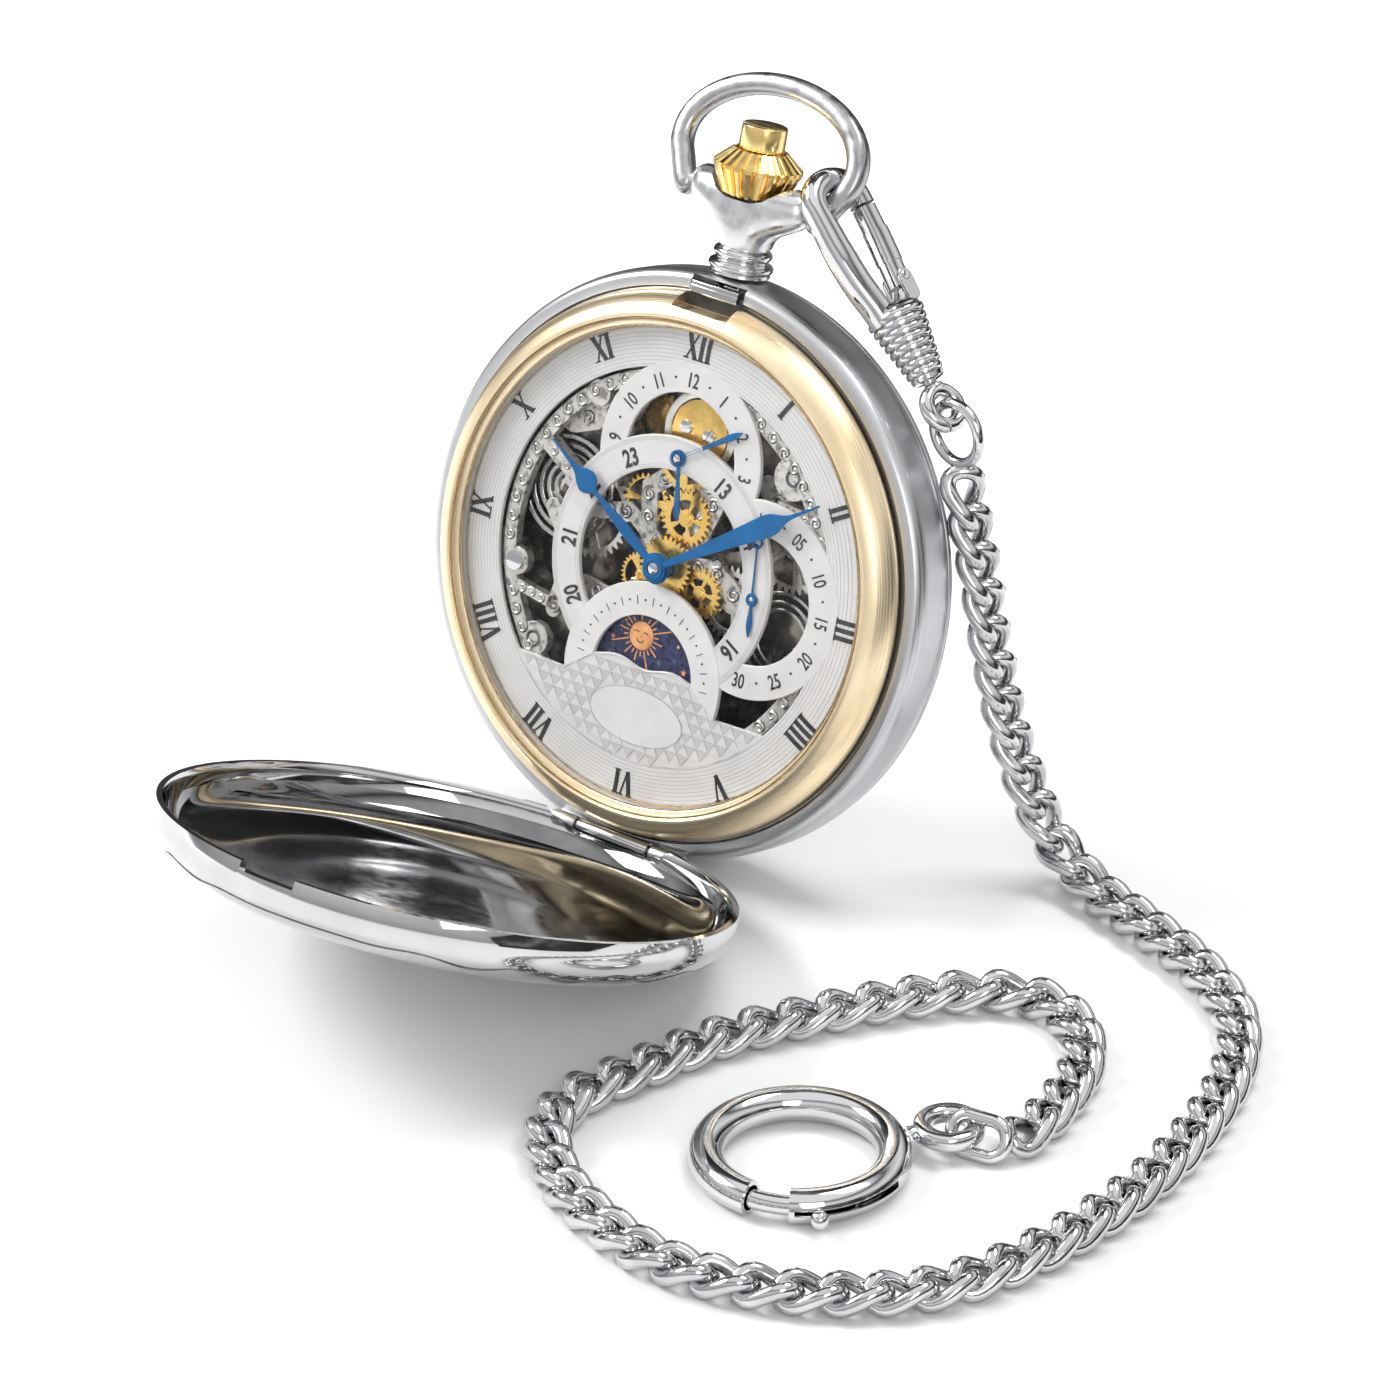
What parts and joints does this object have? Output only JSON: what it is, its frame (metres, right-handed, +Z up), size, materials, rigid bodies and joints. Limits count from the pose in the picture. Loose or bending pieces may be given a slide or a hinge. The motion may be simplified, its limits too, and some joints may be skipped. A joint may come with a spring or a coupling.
{
  "type": "pocket watch",
  "caption": "Hunter-case pocket watch standing open on its cover, with a two-zone skeleton dial, blued hands, crown, bow, swivel clasp, curb chain and spring ring.",
  "frame": {"origin": "on the ground, under the middle of the open watch without its clasp and chain", "axes": "+Z up; -Y the way the dial faces; +X towards III on the dial; the case leans back 16.4 degrees"},
  "size_m": [0.0962, 0.079, 0.0673],
  "materials": {
    "blued_steel": "blued",
    "brass": "gilt",
    "crystal": "clear",
    "dark_steel": "oiled",
    "engraved_steel": "engraved",
    "gold": "polished gold plate",
    "navy_enamel": "enamel",
    "satin_silver": "satin",
    "silver": "polished",
    "silvered_dial": "silvered, matt"
  },
  "bodies": {
    "case": {"back_cover": "satin_silver", "balance_cock": "engraved_steel", "balance_cock_screw": "dark_steel", "barrel_bridge": "engraved_steel", "barrel_bridge_screw": "dark_steel", "bezel": "gold", "case_middle": "silver", "case_screw": "satin_silver", "chain_end_link": "silver", "crystal": "crystal", "curb_chain": "silver", "dial": "silvered_dial", "escape_bridge": "engraved_steel", "escape_bridge_screw": "dark_steel", "hinge_pin": "satin_silver", "lift_spring": "dark_steel", "lock_spring": "dark_steel", "main_plate": "engraved_steel", "movement_ring": "satin_silver", "pendant": "silver", "ring_eyelet": "silver", "spring_ring": "silver", "train_bridge": "engraved_steel", "train_bridge_screw": "dark_steel"},
    "balance": {"balance_wheel": "brass", "hairspring": "blued_steel"},
    "bow": {"bow": "silver"},
    "minute_hand": {"cannon_pinion": "dark_steel", "minute_hand": "blued_steel"},
    "centre_wheel": {"centre_wheel": "brass"},
    "clasp_gate": {"clasp_gate": "silver"},
    "clasp": {"clasp_hook": "silver"},
    "click": {"click": "dark_steel"},
    "cover_catch": {"cover_catch": "satin_silver"},
    "crown": {"crown": "gold"},
    "crown_wheel": {"crown_wheel": "brass"},
    "escape_wheel": {"escape_wheel": "dark_steel"},
    "fourth_wheel": {"fourth_wheel": "brass", "seconds_hand": "blued_steel"},
    "front_cover": {"front_cover": "silver"},
    "hour_hand": {"hour_hand": "blued_steel", "hour_wheel": "brass"},
    "swivel": {"jump_ring": "silver", "swivel_eye": "silver"},
    "barrel": {"mainspring_barrel": "brass"},
    "minute_wheel": {"minute_wheel": "brass"},
    "pallet_fork": {"pallet_fork": "dark_steel"},
    "ratchet_wheel": {"ratchet_wheel": "dark_steel"},
    "release_button": {"release_button": "gold"},
    "ring_bolt": {"ring_bolt": "silver"},
    "sky_disc": {"sun_moon_disc": "navy_enamel"},
    "third_wheel": {"third_wheel": "brass"},
    "winding_stem": {"winding_stem": "dark_steel"},
    "zone_hour_hand": {"zone_hour_hand": "blued_steel"},
    "zone_minute_hand": {"zone_minute_hand": "blued_steel", "zone_wheel": "brass"}
  },
  "joints": [
    {"name": "front_cover_hinge", "type": "hinge", "parent": "case", "child": "front_cover", "pos_m": [0, 0.01033, 0.00266], "axis": [1, 0, 0], "range_deg": [-85.6, 0]},
    {"name": "cover_catch_slide", "type": "slide", "parent": "case", "child": "cover_catch", "axis": [0, -0.2823, -0.9593], "range_m": [0, 0.00035]},
    {"name": "bow_swing", "type": "hinge", "parent": "case", "child": "bow", "pos_m": [0, 0.03089, 0.05817], "axis": [1, 0, 0], "range_deg": [-3, 60]},
    {"name": "clasp_swing", "type": "hinge", "parent": "bow", "child": "clasp", "pos_m": [0.00834, 0.03184, 0.05945], "axis": [1, 0, 0], "range_deg": [-60, 3]},
    {"name": "clasp_gate_spring", "type": "hinge", "parent": "clasp", "child": "clasp_gate", "pos_m": [0.01433, 0.03261, 0.0534], "axis": [-0.7136, 0.1007, -0.6932], "range_deg": [-14, 0], "stiffness_Nm_per_rad": 0.002},
    {"name": "swivel_turn", "type": "hinge", "parent": "clasp", "child": "swivel", "pos_m": [0.00834, 0.03184, 0.05945], "axis": [-0.6781, 0.1493, 0.7197], "continuous": true},
    {"name": "winding_stem_turn", "type": "hinge", "parent": "case", "child": "winding_stem", "pos_m": [0, 0.0214, 0.02593], "axis": [0, 0.2823, 0.9593], "continuous": true},
    {"name": "crown_pull", "type": "slide", "parent": "winding_stem", "child": "crown", "axis": [0, 0.2823, 0.9593], "range_m": [0, 0.001]},
    {"name": "release_button_press", "type": "slide", "parent": "crown", "child": "release_button", "axis": [0, -0.2823, -0.9593], "range_m": [0, 0.0007], "stiffness_N_per_m": 300},
    {"name": "crown_wheel_turn", "type": "hinge", "parent": "case", "child": "crown_wheel", "pos_m": [0.0009, 0.02061, 0.0392], "axis": [0, -0.9593, 0.2823], "continuous": true},
    {"name": "ratchet_wheel_turn", "type": "hinge", "parent": "case", "child": "ratchet_wheel", "pos_m": [-0.0065, 0.01892, 0.03344], "axis": [0, -0.9593, 0.2823], "continuous": true},
    {"name": "click_pivot", "type": "hinge", "parent": "case", "child": "click", "pos_m": [-0.0129, 0.01821, 0.03104], "axis": [0, -0.9593, 0.2823], "range_deg": [0, 10], "stiffness_Nm_per_rad": 0.0001},
    {"name": "minute_hand_turn", "type": "hinge", "parent": "case", "child": "minute_hand", "pos_m": [0, 0.01708, 0.0272], "axis": [0, -0.9593, 0.2823], "continuous": true},
    {"name": "hour_hand_turn", "type": "hinge", "parent": "case", "child": "hour_hand", "pos_m": [0, 0.01708, 0.0272], "axis": [0, -0.9593, 0.2823], "continuous": true},
    {"name": "minute_wheel_turn", "type": "hinge", "parent": "case", "child": "minute_wheel", "pos_m": [-0.0027, 0.01663, 0.02567], "axis": [0, -0.9593, 0.2823], "continuous": true},
    {"name": "zone_minute_hand_turn", "type": "hinge", "parent": "case", "child": "zone_minute_hand", "pos_m": [0, 0.01992, 0.03685], "axis": [0, -0.9593, 0.2823], "continuous": true},
    {"name": "zone_hour_hand_turn", "type": "hinge", "parent": "case", "child": "zone_hour_hand", "pos_m": [0, 0.01992, 0.03685], "axis": [0, -0.9593, 0.2823], "continuous": true},
    {"name": "sky_disc_turn", "type": "hinge", "parent": "case", "child": "sky_disc", "pos_m": [0, 0.01426, 0.01761], "axis": [0, -0.9593, 0.2823], "continuous": true},
    {"name": "fourth_wheel_turn", "type": "hinge", "parent": "case", "child": "fourth_wheel", "pos_m": [0.0101, 0.01708, 0.0272], "axis": [0, -0.9593, 0.2823], "continuous": true},
    {"name": "third_wheel_turn", "type": "hinge", "parent": "case", "child": "third_wheel", "pos_m": [0.0051, 0.01573, 0.0226], "axis": [0, -0.9593, 0.2823], "continuous": true},
    {"name": "centre_wheel_turn", "type": "hinge", "parent": "case", "child": "centre_wheel", "pos_m": [0, 0.01708, 0.0272], "axis": [0, -0.9593, 0.2823], "continuous": true},
    {"name": "barrel_turn", "type": "hinge", "parent": "case", "child": "barrel", "pos_m": [-0.0065, 0.01892, 0.03344], "axis": [0, -0.9593, 0.2823], "continuous": true},
    {"name": "escape_wheel_turn", "type": "hinge", "parent": "case", "child": "escape_wheel", "pos_m": [0.012, 0.0156, 0.02217], "axis": [0, -0.9593, 0.2823], "continuous": true},
    {"name": "balance_swing", "type": "hinge", "parent": "case", "child": "balance", "pos_m": [0.0063, 0.0137, 0.01569], "axis": [0, -0.9593, 0.2823], "range_deg": [-100, 100]},
    {"name": "pallet_rock", "type": "hinge", "parent": "case", "child": "pallet_fork", "pos_m": [0.0113, 0.01474, 0.01924], "axis": [0, -0.9593, 0.2823], "range_deg": [-3, 3]},
    {"name": "ring_bolt_slide", "type": "hinge", "parent": "case", "child": "ring_bolt", "pos_m": [0.0429, -0.02031, 0.00155], "axis": [0, 0, 1], "range_deg": [0, 26], "stiffness_Nm_per_rad": 0.002}
  ],
  "couplings": [
    {"joint": "clasp_swing", "follows": "bow_swing", "ratio": -1},
    {"joint": "cover_catch_slide", "follows": "release_button_press", "ratio": 0.5},
    {"joint": "crown_wheel_turn", "follows": "winding_stem_turn", "ratio": -0.32},
    {"joint": "ratchet_wheel_turn", "follows": "winding_stem_turn", "ratio": 0.25},
    {"joint": "hour_hand_turn", "follows": "minute_hand_turn", "ratio": 0.083333},
    {"joint": "minute_wheel_turn", "follows": "minute_hand_turn", "ratio": -0.4},
    {"joint": "zone_minute_hand_turn", "follows": "minute_hand_turn", "ratio": 1},
    {"joint": "zone_hour_hand_turn", "follows": "minute_hand_turn", "ratio": 0.083333},
    {"joint": "sky_disc_turn", "follows": "minute_hand_turn", "ratio": 0.041667},
    {"joint": "third_wheel_turn", "follows": "fourth_wheel_turn", "ratio": -0.125},
    {"joint": "centre_wheel_turn", "follows": "fourth_wheel_turn", "ratio": 0.016667},
    {"joint": "barrel_turn", "follows": "fourth_wheel_turn", "ratio": -0.0020833},
    {"joint": "escape_wheel_turn", "follows": "fourth_wheel_turn", "ratio": -8},
    {"joint": "pallet_rock", "follows": "balance_swing", "ratio": -0.03}
  ]
}
